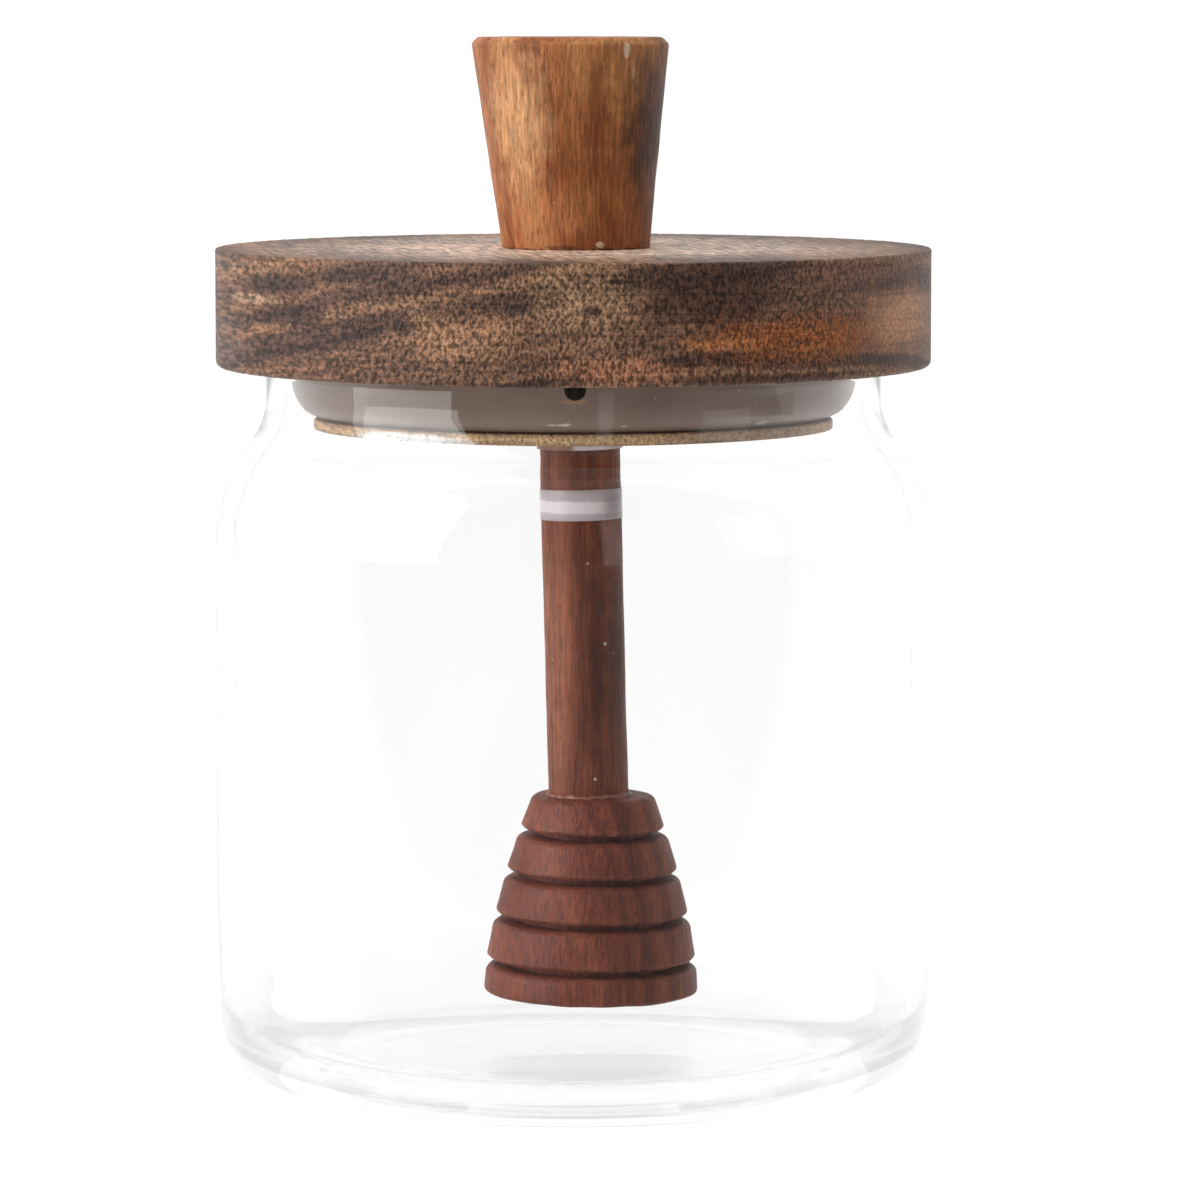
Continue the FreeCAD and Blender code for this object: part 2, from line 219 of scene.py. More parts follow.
class Graph:
    """A node tree being built."""

    def __init__(self, tree: NodeTree) -> None:
        """Starts on a tree, which is emptied.

        Args:
            tree: The node tree to fill.
        """
        self.tree = tree
        tree.nodes.clear()

    def node(self, kind: str, inputs: dict | None = None, **settings: object) -> Node:
        """Adds a node.

        Args:
            kind: Its type, without the word ShaderNode.
            inputs: Input name or number to a value or to the socket that feeds it.
            **settings: Its own properties.

        Returns:
            The new node.
        """
        made = self.tree.nodes.new("NodeGroupOutput" if kind == "GroupOutput" else f"ShaderNode{kind}")
        for key, value in settings.items():
            setattr(made, key, value)
        for key, value in (inputs or {}).items():
            self.feed(made.inputs[key], value)
        return made

    def feed(self, socket: NodeSocket, value: object) -> None:
        """Joins a socket to another socket, or sets its value."""
        if isinstance(value, NodeSocket):
            self.tree.links.new(value, socket)
        elif isinstance(value, tuple) and len(value) == 3 and socket.type == "RGBA":
            socket.default_value = (*value, 1.0)
        else:
            socket.default_value = value

    def math(self, operation: str, *values: object) -> NodeSocket:
        """Returns the result of a Math node."""
        return self.node("Math", dict(enumerate(values)), operation=operation).outputs[0]

    def vector(self, operation: str, *values: object) -> NodeSocket:
        """Returns the result of a Vector Math node."""
        made = self.node("VectorMath", operation=operation)
        for number, value in enumerate(values):
            self.feed(made.inputs["Scale" if operation == "SCALE" and number else number], value)
        return made.outputs["Value" if operation in ("LENGTH", "DISTANCE") else "Vector"]

    def mix(self, factor: object, first: object, second: object, blend: str = "MIX") -> NodeSocket:
        """Returns two colours mixed.

        Args:
            factor: Share of the second.
            first: A colour or a socket.
            second: A colour or a socket.
            blend: The blend type.
        """
        made = self.node("Mix", data_type="RGBA", blend_type=blend)
        for number, value in ((0, factor), (6, first), (7, second)):
            self.feed(made.inputs[number], value)
        return made.outputs[2]

    def cells(self, vector: object, pitch: object) -> NodeSocket:
        """Returns a place counted in cells of a pitch."""
        return self.vector("SCALE", vector, self.math("DIVIDE", 1.0, pitch))

    def span(
        self, value: object, low: float, high: float, start: float = 0.0, end: float = 1.0
    ) -> NodeSocket:
        """Returns a value mapped, and held, from one range to another."""
        inputs = {"Value": value, 1: low, 2: high, 3: start, 4: end}
        return self.node("MapRange", inputs).outputs[0]

    def noise(self, vector: object, scale: float, detail: float = 2.0, rough: float = 0.5) -> Node:
        """Returns a Noise Texture node."""
        inputs = {"Vector": vector, "Scale": scale, "Detail": detail, "Roughness": rough}
        return self.node("TexNoise", inputs)

    def ramp(self, value: object, stops: Sequence[tuple[float, Colour]]) -> NodeSocket:
        """Returns the colour of a ramp.

        Args:
            value: Place on the ramp.
            stops: Positions with their colours, in order.
        """
        made = self.node("ValToRGB", {0: value})
        ramp = made.color_ramp
        while len(ramp.elements) < len(stops):
            ramp.elements.new(0.5)
        for element, (position, colour) in zip(ramp.elements, stops):
            element.position = position
            element.color = (*colour, 1.0)
        return made.outputs[0]

    def group(self, tree: NodeTree, **inputs: object) -> Node:
        """Places a node group.

        Args:
            tree: The group.
            **inputs: Its inputs, in small letters and with underscores for spaces.
        """
        made = self.node("Group", node_tree=tree)
        for key, value in inputs.items():
            self.feed(made.inputs[key.replace("_", " ").title()], value)
        return made


class MaterialGraph(Graph):
    """The node tree of a new material.

    Attributes:
        material: The material.
        place: The place on the piece, in mm.
    """

    def __init__(self, name: str) -> None:
        """Makes the material, with an empty tree."""
        self.material = bpy.data.materials.new(name)
        self.material.use_nodes = True
        super().__init__(self.material.node_tree)
        self.place = self.vector("SCALE", self.node("TexCoord").outputs["Object"], 1.0 / MM)

    def finished(self, shader: Node) -> Material:
        """Returns the material, with its surface given to a shader."""
        self.node("OutputMaterial", {"Surface": shader.outputs[0]})
        return self.material


def new_group(name: str, inputs: dict[str, object], outputs: Sequence[str]) -> tuple[Graph, dict]:
    """Makes an empty shader node group.

    Args:
        name: Its name.
        inputs: Input name to its default: a number, or a tuple for a vector.
        outputs: Names of its value outputs.

    Returns:
        The graph to fill, and the group's input sockets by name.
    """
    tree = bpy.data.node_groups.new(name, "ShaderNodeTree")
    graph = Graph(tree)
    for key, value in inputs.items():
        kind = "NodeSocketVector" if isinstance(value, tuple) else "NodeSocketFloat"
        socket = tree.interface.new_socket(name=key, in_out="INPUT", socket_type=kind)
        socket.default_value = value
    for key in outputs:
        tree.interface.new_socket(name=key, in_out="OUTPUT", socket_type="NodeSocketFloat")
    entry = tree.nodes.new("NodeGroupInput")
    return graph, {key: entry.outputs[key] for key in inputs}


@dataclass
class SharedEffects:
    """The node groups that several finishes use, each built once."""

    figure: NodeTree = field(init=False)
    patch: NodeTree = field(init=False)
    wear: NodeTree = field(init=False)
    dust: NodeTree = field(init=False)

    def __post_init__(self) -> None:
        """Builds every group."""
        self.figure = self.build_figure()
        self.patch = self.build_patch()
        self.wear = self.build_wear_and_highlight()
        self.dust = self.build_dust()

    def build_figure(self) -> NodeTree:
        """Builds solid wood: rings, fibres, pores and flecks that run along the local Y axis, in mm.

        Returns:
            The group, with values for the rings, the fibres, the pores, the flecks and the relief.
        """
        graph, given = new_group(
            "wood_figure",
            {
                "Vector": (0.0, 0.0, 0.0), "Ring Pitch": 6.0, "Ring Warp": 6.0, "Fibre Pitch": 0.25,
                "Pore Pitch": 0.45, "Pore Length": 9.0, "Pore Size": 0.3, "Fleck Pitch": 0.5,
            },
            ("Rings", "Fibres", "Pores", "Flecks", "Relief"),
        )
        place = given["Vector"]
        slow = graph.vector("MULTIPLY", place, (0.045, 0.012, 0.045))
        warp = graph.vector("SUBTRACT", graph.noise(slow, 1.0, 2.0).outputs["Color"], (0.5, 0.5, 0.5))
        warped = graph.vector("ADD", place, graph.vector("SCALE", warp, given["Ring Warp"]))
        across = graph.vector("LENGTH", graph.vector("MULTIPLY", warped, (1.0, 0.0, 1.0)))
        ring_place = graph.math("DIVIDE", across, given["Ring Pitch"])
        rings = graph.node("TexNoise", {"W": ring_place, "Scale": 1.0, "Detail": 3.0}, noise_dimensions="1D")

        def stretched(pitch: NodeSocket, length: object) -> NodeSocket:
            """Returns the place counted in cells of a pitch that are longer along the grain."""
            ends = graph.node("CombineXYZ", {0: 1.0, 1: graph.math("DIVIDE", 1.0, length), 2: 1.0})
            return graph.cells(graph.vector("MULTIPLY", place, ends.outputs[0]), pitch)

        fibres = graph.noise(stretched(given["Fibre Pitch"], 22.0), 1.0, 2.0, 0.6)
        cells = graph.node(
            "TexVoronoi",
            {"Vector": stretched(given["Pore Pitch"], given["Pore Length"]), "Scale": 1.0, "Randomness": 0.9},
        )
        depth = graph.math("DIVIDE", cells.outputs["Distance"], given["Pore Size"])
        pores = graph.span(depth, 0.7, 1.3, 1.0, 0.0)
        slant = {"Vector": place, "Rotation": (0.0, 1.05, 0.0), "Scale": (1.6, 0.1, 1.0)}
        slanted = graph.node("Mapping", slant)
        steps = graph.vector("SCALE", slanted.outputs[0], graph.math("DIVIDE", 0.6, given["Fleck Pitch"]))
        flecks = graph.span(graph.noise(steps, 1.0, 1.5, 0.6).outputs[0], 0.36, 0.66)
        raised, sunk = graph.math("MULTIPLY", flecks, 0.7), graph.math("MULTIPLY", pores, 0.6)
        graph.node(
            "GroupOutput",
            {
                "Rings": rings.outputs[0], "Fibres": fibres.outputs[0], "Pores": pores, "Flecks": flecks,
                "Relief": graph.math("SUBTRACT", raised, sunk),
            },
        )
        return graph.tree

    def build_patch(self) -> NodeTree:
        """Builds an uneven ellipsoid mask, for stains, figure and painted light and shade at one place.

        Returns:
            The group, with one mask.
        """
        graph, given = new_group(
            "soft_patch",
            {
                "Vector": (0.0, 0.0, 0.0), "Centre": (0.0, 0.0, 0.0), "Radii": (1.0, 1.0, 1.0),
                "Uneven": 0.0, "Ragged": 0.4, "Soft": 0.5,
            },
            ("Mask",),
        )
        offset = graph.vector("SUBTRACT", given["Vector"], given["Centre"])
        away = graph.vector("LENGTH", graph.vector("DIVIDE", offset, given["Radii"]))
        ragged = graph.math("MULTIPLY", given["Uneven"], given["Ragged"])
        edge = graph.math("ADD", away, graph.math("MULTIPLY", ragged, 2.0))
        inner = graph.math("SUBTRACT", 1.0, given["Soft"])
        ends = {"Value": edge, 1: inner, 2: 1.0, 3: 1.0, 4: 0.0}
        span = graph.node("MapRange", ends, interpolation_type="SMOOTHSTEP")
        graph.node("GroupOutput", {"Mask": span.outputs[0]})
        return graph.tree

    def build_wear_and_highlight(self) -> NodeTree:
        """Builds edge wear, which on the ribbed head also paints a highlight along the rib edges: a broken
        line where a surface turns sharply.

        Returns:
            The group, with one mask.
        """
        inputs = {"Vector": (0.0, 0.0, 0.0), "Pitch": 1.5, "Amount": 0.5}
        graph, given = new_group("edge_wear_and_highlight", inputs, ("Mask",))
        edges = graph.span(graph.node("NewGeometry").outputs["Pointiness"], 0.51, 0.58)
        cells = graph.cells(given["Vector"], given["Pitch"])
        broken = graph.span(graph.noise(cells, 1.0, 3.0, 0.6).outputs[0], 0.42, 0.62)
        mask = graph.math("MULTIPLY", graph.math("MULTIPLY", edges, broken), given["Amount"])
        graph.node("GroupOutput", {"Mask": mask})
        return graph.tree

    def build_dust(self) -> NodeTree:
        """Builds fine dust: sparse pale specks.

        Returns:
            The group, with one mask.
        """
        inputs = {"Vector": (0.0, 0.0, 0.0), "Pitch": 2.0, "Size": 0.1}
        graph, given = new_group("fine_dust", inputs, ("Mask",))
        cells = graph.cells(given["Vector"], given["Pitch"])
        specks = graph.node("TexVoronoi", {"Vector": cells, "Scale": 1.0, "Randomness": 1.0})
        near_middle = graph.math("LESS_THAN", specks.outputs["Distance"], given["Size"])
        draw = graph.node("SeparateColor", {0: specks.outputs["Color"]}).outputs[1]
        chosen = graph.math("GREATER_THAN", draw, 0.6)
        graph.node("GroupOutput", {"Mask": graph.math("MULTIPLY", near_middle, chosen)})
        return graph.tree


# Finishes


class Grain(Enum):
    """Which way the wood's fibres run in a piece, as the turn that brings them onto Y."""

    UPRIGHT = (math.radians(-90), 0.0, 0.0)
    LEVEL = (0.0, 0.0, math.radians(-13.5))


@dataclass(frozen=True)
class Patch:
    """A place where a surface has another tone: stains and figure, and also painted light and shade.

    Attributes:
        centre: Its middle, in mm.
        radii: Its half sizes, in mm.
        tone: The display colour there, as three values from 0 to 255.
        strength: How much of that colour shows.
        ragged: How uneven its edge is.
        soft: Width of its edge, as a share.
    """

    centre: Place
    radii: Place
    tone: tuple[int, int, int]
    strength: float = 0.7
    ragged: float = 0.5
    soft: float = 0.6


def patched(
    graph: MaterialGraph, effects: SharedEffects, colour: NodeSocket, patches: Sequence[Patch]
) -> NodeSocket:
    """Lays patches over a colour, with one shared unevenness for all their edges.

    Args:
        graph: The material's graph.
        effects: The shared node groups.
        colour: The colour under the patches.
        patches: The patches, the last one on top.

    Returns:
        The colour with its patches.
    """
    if not patches:
        return colour
    cloud = graph.noise(graph.vector("SCALE", graph.place, 1.0 / PATCH_EDGE_PITCH), 1.0, 3.0)
    uneven = graph.math("SUBTRACT", cloud.outputs[0], 0.5)
    for patch in patches:
        sizes = {key: getattr(patch, key) for key in ("centre", "radii", "ragged", "soft")}
        shape = graph.group(effects.patch, vector=graph.place, uneven=uneven, **sizes)
        share = graph.math("MULTIPLY", shape.outputs[0], patch.strength)
        colour = graph.mix(share, colour, srgb(*patch.tone))
    return colour


FIGURE_SIZES = (
    "ring_pitch", "ring_warp", "fibre_pitch", "pore_pitch", "pore_length", "pore_size", "fleck_pitch"
)


@dataclass(frozen=True)
class WoodFinish:
    """Oiled wood with its own colours and figure. Lengths are in mm.

    Attributes:
        name: The material's name.
        grain: Which way the fibres run.
        tones: Ring colours from dark to pale, with their places on the ramp.
        pore_tone: Colour of the open pores.
        pith: Where the grain's axis lies once the fibres run along Y.
        ring_pitch: Width of a growth ring.
        ring_warp: How far the rings wander.
        fibre_pitch: Width of a fibre.
        pore_pitch: Distance between pores.
        pore_length: How many times longer than wide a pore is.
        pore_size: Width of a pore, as a share of the distance.
        pore_strength: How much of the pore's colour shows.
        fleck_pitch: Size of the flecks that cut fibre ends make.
        flecks: How bright the flecks are and how dark the gaps between them.
        calm: Places with few flecks.
        fibre_contrast: How much neighbouring fibres differ in tone.
        relief: Depth of the open grain.
        saw_marks: Strength of the fine level lines that a saw leaves.
        roughness: Roughness where the surface is smoothest.
        specular: Strength of the surface's own gloss.
        wear: Strength of the pale wear on edges; on the head it also paints the highlight along the rib
            edges.
        wear_highlight_and_dust_tone: Colour of worn wood, of that painted edge highlight and of dust.
        patches: Places with another tone, among them painted light and shade.
    """

    name: str
    grain: Grain
    tones: tuple[tuple[float, Colour], ...]
    pore_tone: Colour
    pith: Place = (18.0, 0.0, -55.0)
    ring_pitch: float = 6.0
    ring_warp: float = 9.0
    fibre_pitch: float = 0.25
    pore_pitch: float = 0.45
    pore_length: float = 9.0
    pore_size: float = 0.3
    pore_strength: float = 0.6
    fleck_pitch: float = 0.5
    flecks: float = 0.5
    calm: tuple[Patch, ...] = ()
    fibre_contrast: float = 0.5
    relief: float = 0.12
    saw_marks: float = 0.0
    roughness: float = 0.5
    specular: float = 0.3
    wear: float = 0.35
    wear_highlight_and_dust_tone: Colour = srgb(190, 160, 130)
    patches: tuple[Patch, ...] = ()

    def material(self, effects: SharedEffects) -> Material:
        """Builds the finish.

        Args:
            effects: The shared node groups.

        Returns:
            The material.
        """
        graph = MaterialGraph(self.name)
        turn = {"Vector": graph.place, "Location": self.pith, "Rotation": self.grain.value}
        sizes = {key: getattr(self, key) for key in FIGURE_SIZES}
        figure = graph.group(effects.figure, vector=graph.node("Mapping", turn).outputs[0], **sizes)
        tone = graph.ramp(figure.outputs["Rings"], self.tones)
        tone = patched(graph, effects, tone, self.patches)
        colour = graph.mix(1.0, tone, self.detail(graph, effects, figure), "MULTIPLY")
        pores = graph.math("MULTIPLY", figure.outputs["Pores"], self.pore_strength)
        colour = graph.mix(pores, colour, self.pore_tone)
        # Pale edge wear; on the head this also paints the highlight along the rib edges.
        worn = graph.group(effects.wear, vector=graph.place, amount=self.wear)
        colour = graph.mix(worn.outputs[0], colour, self.wear_highlight_and_dust_tone)
        specks = graph.group(effects.dust, vector=graph.place, pitch=3.2, size=0.05)
        colour = graph.mix(graph.math("MULTIPLY", specks.outputs[0], 0.5), colour, self.wear_highlight_and_dust_tone)
        smooth, dull = self.roughness - 0.06, self.roughness + 0.1
        rough = graph.span(figure.outputs["Fibres"], 0.3, 0.7, smooth, dull)
        grain = {"Strength": 0.9, "Distance": self.relief * MM, "Height": figure.outputs["Relief"]}
        bump = graph.node("Bump", grain)
        shader = graph.node(
            "BsdfPrincipled",
            {
                "Base Color": colour, "Roughness": rough, "IOR": 1.45,
                "Specular IOR Level": self.specular, "Normal": bump.outputs[0],
            },
        )
        return graph.finished(shader)

    def detail(self, graph: MaterialGraph, effects: SharedEffects, figure: Node) -> NodeSocket:
        """Adds the fine light and dark of fibres, flecks and saw marks.

        Args:
            graph: The material's graph.
            effects: The shared node groups.
            figure: The placed wood figure group.

        Returns:
            A multiplier near 1.
        """
        dark, light = 1 - self.fibre_contrast, 1 + self.fibre_contrast
        fibre = graph.span(figure.outputs["Fibres"], 0.25, 0.75, dark, light)
        fleck = graph.span(figure.outputs["Flecks"], 0.0, 1.0, 1 - self.flecks, 1 + self.flecks)
        fleck = patched(graph, effects, fleck, self.calm)
        both = graph.math("MULTIPLY", fibre, fleck)
        if not self.saw_marks:
            return both
        lines = graph.noise(graph.vector("MULTIPLY", graph.place, (0.045, 0.045, 1.9)), 1.0, 1.0)
        level = graph.span(lines.outputs[0], 0.36, 0.46, 1 - self.saw_marks, 1.0)
        return graph.math("MULTIPLY", both, level)


@dataclass(frozen=True)
class GlassFinish:
    """Clear moulded glass that lets lamps reach what it holds, and bends light less at its foot, where a grey
    tint is painted shade for the grey that the thick foot shows.
    """

    name: str = "jar_glass_clear"
    tint: Colour = (0.99, 0.99, 0.99)
    # Grey at the foot: painted shade for the grey that light bent through the thick glass foot gives.
    foot_painted_shade: Colour = (0.84, 0.84, 0.84)
    base_depth: float = 16.0
    base_share: float = 0.45
    ior: float = 1.18
    coat: float = 0.6
    shade: Colour = (0.985, 0.985, 0.985)

    def material(self) -> Material:
        """Builds the finish.

        Returns:
            The material.
        """
        graph = MaterialGraph(self.name)
        ripple = graph.noise(graph.vector("MULTIPLY", graph.place, (0.05, 0.05, 0.02)), 1.0, 1.0)
        bump = graph.node("Bump", {"Strength": 0.25, "Distance": 0.4 * MM, "Height": ripple.outputs[0]})
        height = graph.node("SeparateXYZ", {0: graph.place}).outputs[2]
        rise = {0: height, 1: 0.0, 2: self.base_depth}
        above = graph.node("MapRange", rise, interpolation_type="SMOOTHSTEP").outputs[0]
        shader = graph.node(
            "BsdfPrincipled",
            {
                "Base Color": graph.mix(above, self.foot_painted_shade, self.tint), "Roughness": 0.0,
                "IOR": self.ior, "Transmission Weight": 1.0, "Coat Weight": self.coat,
                "Coat Roughness": 0.0, "Alpha": graph.span(above, 0.35, 1.0, self.base_share, 1.0),
                "Normal": bump.outputs[0],
            },
        )
        clear = graph.node("BsdfTransparent", {"Color": self.shade})
        path = graph.node("LightPath")
        for ray in ("Is Diffuse Ray", "Is Shadow Ray"):
            parts = {0: path.outputs[ray], 1: shader.outputs[0], 2: clear.outputs[0]}
            shader = graph.node("MixShader", parts)
        return graph.finished(shader)


@dataclass(frozen=True)
class SoftFinish:
    """A plain soft or filmy finish with faint unevenness, such as silicone or film."""

    name: str
    tone: Colour
    second: Colour
    roughness: float = 0.4
    patches: tuple[Patch, ...] = ()

    def material(self, effects: SharedEffects) -> Material:
        """Builds the finish.

        Args:
            effects: The shared node groups.

        Returns:
            The material.
        """
        graph = MaterialGraph(self.name)
        cloud = graph.noise(graph.place, 0.12, 3.0)
        colour = graph.mix(graph.span(cloud.outputs[0], 0.35, 0.65), self.tone, self.second)
        colour = patched(graph, effects, colour, self.patches)
        specks = graph.group(effects.dust, vector=graph.place, pitch=1.7, size=0.06)
        colour = graph.mix(graph.math("MULTIPLY", specks.outputs[0], 0.6), colour, (0.75, 0.72, 0.68))
        fine = graph.noise(graph.place, 3.0, 3.0)
        bump = graph.node("Bump", {"Strength": 0.3, "Distance": 0.05 * MM, "Height": fine.outputs[0]})
        rough = graph.span(fine.outputs[0], 0.3, 0.7, self.roughness - 0.05, self.roughness + 0.08)
        shader = graph.node(
            "BsdfPrincipled",
            {"Base Color": colour, "Roughness": rough, "IOR": 1.42, "Normal": bump.outputs[0]},
        )
        return graph.finished(shader)


@dataclass(frozen=True)
class FilmAndReflectionFinish:
    """Thin sleeve whose tone changes along one axis: a clinging film for the collar, and a painted reflection
    for the band.

    Attributes:
        name: The material's name.
        axis: 0 across, or 2 upwards.
        ends: Where the tones start and end along the axis, in mm.
        tones: Places from 0 to 1 between the ends, with their colours.
        roughness: How matt the film is.
        patches: Places with another tone; on the band, painted shade.
    """

    name: str
    axis: int
    ends: tuple[float, float]
    tones: tuple[tuple[float, Colour], ...]
    roughness: float = 0.25
    patches: tuple[Patch, ...] = ()

    def material(self, effects: SharedEffects) -> Material:
        """Builds the finish.

        Args:
            effects: The shared node groups.

        Returns:
            The material.
        """
        graph = MaterialGraph(self.name)
        along = graph.node("SeparateXYZ", {0: graph.place}).outputs[self.axis]
        creases = graph.noise(graph.vector("MULTIPLY", graph.place, (0.9, 0.9, 0.25)), 1.0, 3.0)
        uneven = graph.span(creases.outputs[0], 0.0, 1.0, -0.3, 0.3)
        share = graph.span(graph.math("ADD", along, uneven), *self.ends)
        colour = graph.ramp(share, self.tones)
        colour = patched(graph, effects, colour, self.patches)
        specks = graph.group(effects.dust, vector=graph.place, pitch=1.3, size=0.08)
        colour = graph.mix(graph.math("MULTIPLY", specks.outputs[0], 0.4), colour, (0.8, 0.78, 0.76))
        bump = graph.node("Bump", {"Strength": 0.5, "Distance": 0.08 * MM, "Height": creases.outputs[0]})
        shader = graph.node(
            "BsdfPrincipled",
            {"Base Color": colour, "Roughness": self.roughness, "IOR": 1.45, "Normal": bump.outputs[0]},
        )
        return graph.finished(shader)


LID_PATCHES = (
    Patch((-40, -29, 112.4), (11, 13, 1.7), (62, 47, 46), 0.8),
    Patch((-26, -42, 113.9), (12, 9, 1.7), (66, 50, 46), 0.7),
    Patch((-37, -33, 108), (9, 11, 1.9), (66, 48, 46), 0.75),
    Patch((-43.5, -24, 110.2), (7, 11, 1), (172, 138, 112), 0.75),
    Patch((-47, -14, 114.5), (8, 16, 1.6), (134, 104, 88), 0.6),
    Patch((-48, -12, 103.5), (9, 20, 5), (118, 92, 80), 0.6),
    Patch((-14, -47.5, 106.5), (15, 9, 5.5), (178, 132, 98), 0.68, 0.6, 0.9),
    Patch((1.5, -49.6, 111), (11, 12, 7), (182, 142, 108), 0.66, 0.6, 0.9),
    Patch((19, -46, 111.4), (12.5, 14, 5.4), (84, 56, 44), 0.88),
    Patch((31, -39, 105.8), (21, 30, 4.8), (164, 94, 48), 0.88, 0.5, 0.85),
    Patch((20, -45.5, 105.2), (8, 10, 1.3), (198, 124, 76), 0.6, 0.6, 0.9),
    # Partly paler wood, partly painted light and sheen that brighten the dimly lit far right of the lid's
    # side.
    Patch((45, -20, 107.5), (9, 22, 6), (214, 156, 120), 0.85, 0.3, 0.8),
    Patch((38, -32, 113.9), (16, 24, 2.4), (140, 98, 78), 0.75),
    Patch((7, -49.2, 101.8), (12, 14, 2.4), (190, 128, 96), 0.7),
    Patch((27, -41.7, 100.4), (17, 24, 0.9), (76, 46, 34), 0.8),
    Patch((2.8, -49.6, 109.9), (1.8, 4, 0.8), (56, 40, 34), 0.85, 1.2),
    Patch((7, -49.2, 113.6), (3.4, 4, 0.35), (74, 54, 44), 0.8, 0.9),
    # Pale tan plug rim, brightened further as painted light that makes up for the shade under the lid disc.
    Patch((0, 0, 91.6), (60, 60, 1.6), (232, 192, 144), 0.9, 0.2, 0.5),
    # Painted highlight along the front of the plug rim.
    Patch((-4, -42, 91.4), (13, 7, 1.6), (255, 222, 172), 0.8, 0.3, 0.6),
    Patch((30, -31, 91.6), (22, 20, 1.8), (166, 132, 104), 0.75, 0.3, 0.6),
    # Painted reflection: the white veil of the left lamp that the glass neck shows over the rim's left part.
    Patch((-26, -33, 91), (14, 15, 1.5), (255, 254, 253), 1, 0.2, 0.4),
    # Painted sheen: the lid's top face is painted paler, as the top lamp and the grazing view light it.
    Patch((0, 0, 117), (60, 60, 1.6), (246, 214, 192), 0.88, 0.1, 0.4),
)
LID_WOOD = WoodFinish(
    name="lid_acacia",
    grain=Grain.LEVEL,
    tones=(
        (0.28, srgb(70, 50, 44)), (0.42, srgb(98, 71, 58)), (0.55, srgb(130, 94, 73)),
        (0.68, srgb(150, 111, 84)), (0.82, srgb(104, 74, 58)),
    ),
    pore_tone=srgb(50, 35, 32),
    pith=(-15.0, 0.0, 60.0),
    ring_pitch=3.6,
    ring_warp=5.0,
    pore_pitch=0.6,
    pore_length=10.0,
    pore_size=0.26,
    pore_strength=0.45,
    fleck_pitch=0.4,
    flecks=0.66,
    calm=(
        Patch((45, -22, 107), (17, 26, 13), (255, 255, 255), 0.7, 0.4, 0.7),
        Patch((0, 0, 91.6), (60, 60, 1.8), (255, 255, 255), 0.7, 0.1, 0.3),
    ),
    fibre_contrast=0.3,
    relief=0.14,
    saw_marks=0.3,
    patches=LID_PATCHES,
)
KNOB_PATCHES = (
    # Painted highlight: the knob's left third, lit by the left lamp, is painted paler.
    Patch((-7.5, -9, 134), (7, 9, 15), (232, 176, 124), 0.8, 0.5, 0.9),
    Patch((0, -10.5, 121.5), (6, 6, 5), (190, 128, 82), 0.6, 0.7, 0.9),
    Patch((3.2, -12, 134), (3.2, 6, 14), (126, 66, 36), 0.7, 0.5, 0.9),
    # Painted shade: the knob's right side, away from the key lamp, is painted darker.
    Patch((11.5, -6, 132), (8, 12, 18), (66, 32, 14), 0.92, 0.4, 0.8),
    Patch((7.4, -11.4, 143.4), (0.6, 1.6, 1.2), (222, 190, 160), 0.9, 0.9, 0.4),
    Patch((8.3, -10.6, 140.6), (0.3, 1.6, 1.8), (206, 165, 130), 0.7, 0.9, 0.5),
    Patch((3.7, -9.6, 116.8), (0.9, 1.6, 0.7), (236, 210, 182), 0.9, 0.9, 0.4),
    Patch((-1, -10.2, 116.4), (4.5, 1.6, 0.5), (90, 48, 28), 0.7, 0.9, 0.5),
)
KNOB_WOOD = WoodFinish(
    name="knob_acacia", grain=Grain.UPRIGHT,
    tones=((0.35, srgb(150, 88, 50)), (0.5, srgb(176, 110, 66)), (0.65, srgb(196, 132, 82))),
    pore_tone=srgb(92, 50, 26), pith=(30.0, 0.0, 40.0), ring_pitch=4.0, pore_pitch=0.5, pore_length=4.0,
    pore_size=0.28, pore_strength=0.3, fleck_pitch=0.45, flecks=0.25, fibre_contrast=0.22, relief=0.08,
    patches=KNOB_PATCHES,
)
STEM_PATCHES = (
    # Painted highlight: the stem's lit left side is painted paler.
    Patch((-3.5, -4, 60), (3.4, 5, 26), (160, 102, 78), 0.6, 0.5, 0.9),
    # Painted shade: the stem's right side, away from the key lamp, is painted darker.
    Patch((3, -4.8, 60), (2.4, 5, 26), (74, 28, 10), 0.88, 0.4, 0.9),
    Patch((5.8, -2, 60), (3.2, 5, 26), (60, 26, 14), 0.88, 0.3, 0.9),
    Patch((0, -4, 87), (8, 8, 3.5), (104, 58, 44), 0.6, 0.3, 0.8),
    Patch((4.4, -4.8, 61.2), (0.3, 0.7, 0.35), (240, 225, 210), 1, 0.3),
    Patch((3, -5.2, 42.3), (0.3, 0.7, 0.3), (230, 210, 190), 1, 0.3),
    Patch((2, -5.5, 72.4), (0.25, 0.7, 0.25), (215, 190, 170), 0.9, 0.3),
    Patch((-1, -5.4, 78.6), (0.25, 0.7, 0.3), (225, 200, 180), 0.9, 0.3),
)
STEM_WOOD = WoodFinish(
    name="stem_redwood", grain=Grain.UPRIGHT,
    tones=((0.35, srgb(106, 52, 32)), (0.5, srgb(126, 67, 43)), (0.65, srgb(142, 80, 54))),
    pore_tone=srgb(62, 32, 22), pith=(22.0, 0.0, 15.0), ring_pitch=3.5, pore_pitch=0.45, pore_length=3.5,
    pore_strength=0.3, fleck_pitch=0.35, flecks=0.26, fibre_contrast=0.16, fibre_pitch=0.35, relief=0.06,
    patches=STEM_PATCHES,
)
